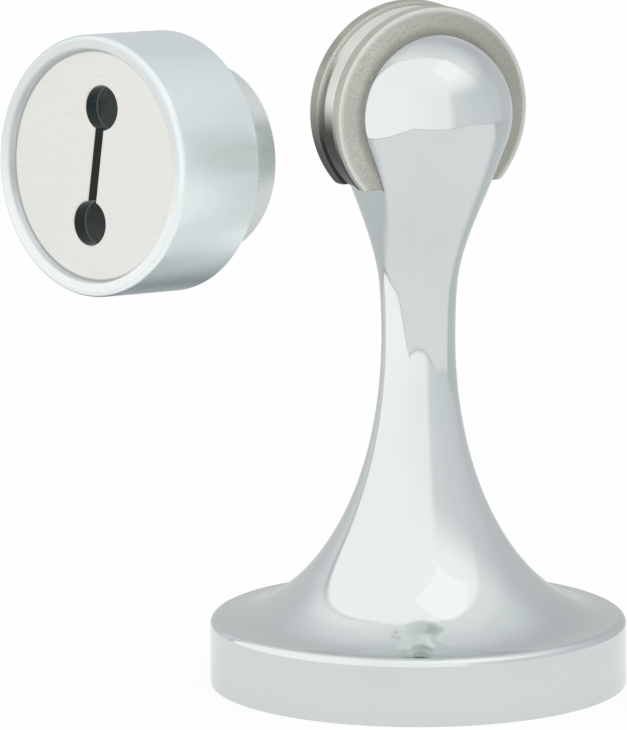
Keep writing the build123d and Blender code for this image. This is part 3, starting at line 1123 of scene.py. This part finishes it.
def catch_spring():
    """The coil spring between the cup's back and the strike, at its length with the strike not
    pushed in.
    """
    low = cup_back_front + spring_gap + spring_wire / 2
    high = strike_back - spring_gap - spring_wire / 2
    values = {
        "Radius": spring_radius,
        "Height": high - low,
        "Turns": spring_turns,
        "Wire": spring_wire,
        "Finish": zinc_plate("spring wire", (0.5, 0.5, 0.51, 1), (0.58, 0.58, 0.58, 1)),
    }
    place = catch_place @ Matrix.Translation((0, 0, low))
    piece = grow("coil_spring", coil_tree(), values, place)
    settle(piece, "holder", "spring_steel", "catch_spring")
    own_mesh(piece)
    return piece


# -------- pieces that keep their CAD shape

def dress(node, material):
    """Gives a CAD node a detailed material and leaves its shape alone."""
    piece = frame["nodes"][node]
    piece.data.materials.clear()
    piece.data.materials.append(material)


def dress_hidden_pieces():
    """The finish of the screw, the stud and the plate that the post hides."""
    zinc = zinc_plate("zinc-plated screw", (0.6, 0.61, 0.62, 1), (0.68, 0.68, 0.69, 1))
    dress("head_screw", zinc)
    dress("floor_stud", zinc)
    sheet = zinc_plate("zinc-plated sheet", (0.62, 0.62, 0.6, 1), (0.7, 0.7, 0.69, 1))
    dress("floor_plate", sheet)


# -------- studio

camera_distance = 1.1168
camera_height = 0.2552
camera_heading = radians(28.5)
camera_pitch = radians(10.9)
camera_lens = 451.0
camera_shift = -0.1436


def stand_camera():
    """The camera, in front of the stand and to its left, looking a little down on it."""
    data = bpy.data.cameras.new("camera")
    data.lens = camera_lens
    data.shift_x = camera_shift
    data.clip_end = 10
    camera = in_scene("camera", data)
    left, back = sin(camera_heading), cos(camera_heading)
    camera.location = (-camera_distance * left, -camera_distance * back, camera_height)
    camera.rotation_euler = (pi / 2 - camera_pitch, 0, -camera_heading)
    bpy.context.scene.camera = camera


table_left = 0.15
table_right = 0.4
table_front = 0.28
table_back = 2.5
table_drop = 0.02 * mm            # keeps it clear of the stand's underside
table_white_to_camera = 0.9
table_white_in_mirrors = 0.6
table_edge = 13 * mm              # how broad its edge looks dark in mirrors
table_left_edge = 5 * mm
edge_softness = 0.8               # the edge is fully dark inside this share of its breadth
table_shade_span = (20 * mm, 70 * mm)   # behind the stand, where mirrors see the table turn grey with painted shade


def pale_table():
    """The table's finish: white to the camera, and in mirrors grey with painted shade behind and
    dark at its edge.
    """
    material, tree = new_material("pale table", 0.0)
    shader = tree.nodes["Principled BSDF"]
    shader.inputs["Roughness"].default_value = 0.9
    shader.inputs["Specular IOR Level"].default_value = 0.1
    grain = grain_of(tree, 900.0)
    tint = blend(tree, grain["Cloud"], (0.86, 0.875, 0.88, 1), (0.89, 0.9, 0.9, 1))
    tree.links.new(tint, shader.inputs["Base Color"])
    path = add(tree, "ShaderNodeLightPath").outputs
    mirrored = larger(tree, path["Is Glossy Ray"], path["Is Transmission Ray"])
    in_mirrors = times(tree, mirrored, table_white_in_mirrors)
    to_camera = times(tree, path["Is Camera Ray"], table_white_to_camera)
    place = here(tree)
    back = along(tree, place, (sin(camera_heading), cos(camera_heading), 0.0))
    right = along(tree, place, (cos(camera_heading), -sin(camera_heading), 0.0))
    edges = (
        (back, table_edge - table_front, edge_softness * table_edge - table_front),
        (right, table_left_edge - table_left, edge_softness * table_left_edge - table_left),
        (right, table_right - table_edge, table_right - edge_softness * table_edge),
    )
    front_edge, left_edge, right_edge = [remap(tree, *edge) for edge in edges]
    edge = larger(tree, larger(tree, front_edge, left_edge), right_edge)
    dark = times(tree, edge, mirrored)
    # painted shade: in mirrors the table turns grey behind the stand
    far = times(tree, remap(tree, back, *table_shade_span, smooth=True), mirrored)
    over = (far, (0.66, 0.68, 0.69, 1)), (dark, (0.52, 0.50, 0.47, 1))
    shown = layered(tree, (1, 1, 1, 1), *over)
    white = add(tree, "ShaderNodeEmission", {"Color": shown, "Strength": 1.0})
    share = larger(tree, larger(tree, to_camera, in_mirrors), larger(tree, far, dark))
    mixed = add(tree, "ShaderNodeMixShader", {0: share, 1: shader.outputs[0], 2: white.outputs[0]})
    tree.links.new(mixed.outputs[0], tree.nodes["Material Output"].inputs["Surface"])
    return material


def lay_table():
    """The table top, which keeps the soft shadow."""
    bm = bmesh.new()
    corners = [(-table_left, -table_front), (table_right, -table_front)]
    corners += [(table_right, table_back), (-table_left, table_back)]
    bm.faces.new(ring_of(bm, [(x, y, 0) for x, y in corners]))
    turn = Matrix.Rotation(-camera_heading, 4, "Z")
    mesh = mesh_of("table", bm, Matrix.Translation((0, 0, -table_drop)) @ turn)
    mesh.materials.append(pale_table())
    table = in_scene("table", mesh)


# The soft surround round the compass: degrees to the right of the camera, seen from the
# stand, and how bright the surround is there. The front half brightens towards the top.
surround_levels = (
    (-180, 0.65), (-150, 0.70), (-129, 0.86), (-125, 0.62), (-121, 1.24), (-60, 1.24), (20, 1.18),
    (36, 0.91), (75, 0.85), (108, 0.79), (132, 0.70), (165, 0.63), (180, 0.65),
)
top_level = 1.23
top_middle = radians(-10)
top_heights = (0.45, 0.8)
top_in_front = (-0.2, -0.1)
top_behind = (-1.0, -0.3)
top_share_behind = 0.55
tint_levels = (0.85, 1.15)        # below them the surround is cool, above them warm
warm_tint = (1.01, 1.0, 0.985, 1)
cool_tint = (0.99, 1.0, 1.018, 1)


def level_round(tree, compass):
    """How bright the surround is in each direction of the compass."""
    ramp = add(tree, "ShaderNodeValToRGB", {0: remap(tree, compass, -pi, pi)})
    ramp.color_ramp.interpolation = "EASE"
    stops = ramp.color_ramp.elements
    while len(stops) < len(surround_levels):
        stops.new(0.5)
    brightest = max(level for angle, level in surround_levels)
    for stop, (angle, level) in zip(stops, surround_levels):
        stop.position = angle / 360 + 0.5
        stop.color = (*[level / brightest] * 3, 1)
    return times(tree, ramp.outputs[0], brightest)


def light_studio():
    """A pale surround: warm white in front of the object and above it, cooler behind it."""
    world = bpy.data.worlds.new("soft surround")
    bpy.context.scene.world = world
    world.use_nodes = True
    tree = world.node_tree
    tree.nodes.clear()
    direction = add(tree, "ShaderNodeTexCoord").outputs["Generated"]
    turn = (0.0, 0.0, pi / 2 + camera_heading)
    turned = add(tree, "ShaderNodeMapping", {"Vector": direction, "Rotation": turn}).outputs[0]
    axes = axes_of(tree, turned)
    sides = level_round(tree, math_node(tree, "ARCTAN2", axes[1], axes[0]))
    forward = along(tree, turned, (cos(top_middle), sin(top_middle), 0.0))
    above = remap(tree, axes[2], *top_heights, smooth=True)
    ceiling = remap(tree, forward, *top_in_front, smooth=True)
    behind = remap(tree, forward, *top_behind, 0.0, top_share_behind)
    top = times(tree, above, larger(tree, ceiling, behind))
    level = blend_values(tree, top, sides, top_level)
    tint = blend(tree, remap(tree, level, *tint_levels), cool_tint, warm_tint)
    lit = add(tree, "ShaderNodeBackground", {"Color": tint, "Strength": level})
    white = add(tree, "ShaderNodeBackground", {"Color": (1, 1, 1, 1), "Strength": 1.0})
    to_camera = add(tree, "ShaderNodeLightPath").outputs["Is Camera Ray"]
    seen = add(tree, "ShaderNodeMixShader", {0: to_camera, 1: lit.outputs[0], 2: white.outputs[0]})
    output = add(tree, "ShaderNodeOutputWorld")
    tree.links.new(seen.outputs[0], output.inputs["Surface"])


lamp_place = Vector((0.23, -0.46, 1.45))
lamp_aim = Vector((0, 0, 0.04))
lamp_side = 0.75
lamp_power = 0.16


def hang_lamp():
    """The broad soft lamp that throws the faint shadow on the table."""
    data = bpy.data.lights.new("soft lamp", "AREA")
    data.shape = "RECTANGLE"
    data.size = lamp_side
    data.size_y = lamp_side
    data.energy = lamp_power
    lamp = in_scene("soft lamp", data)
    lamp.location = lamp_place
    lamp.rotation_euler = (lamp_aim - lamp_place).to_track_quat("-Z", "Y").to_euler()


# -------- the whole object

stand_camera()
post()
magnet_pack()
catch_cup()
strike_disc()
door_base()
cup_back()
buffer_sleeve()
catch_spring()
dress_hidden_pieces()
lay_table()
light_studio()
hang_lamp()

scene = bpy.context.scene
scene.view_settings.view_transform = "Standard"
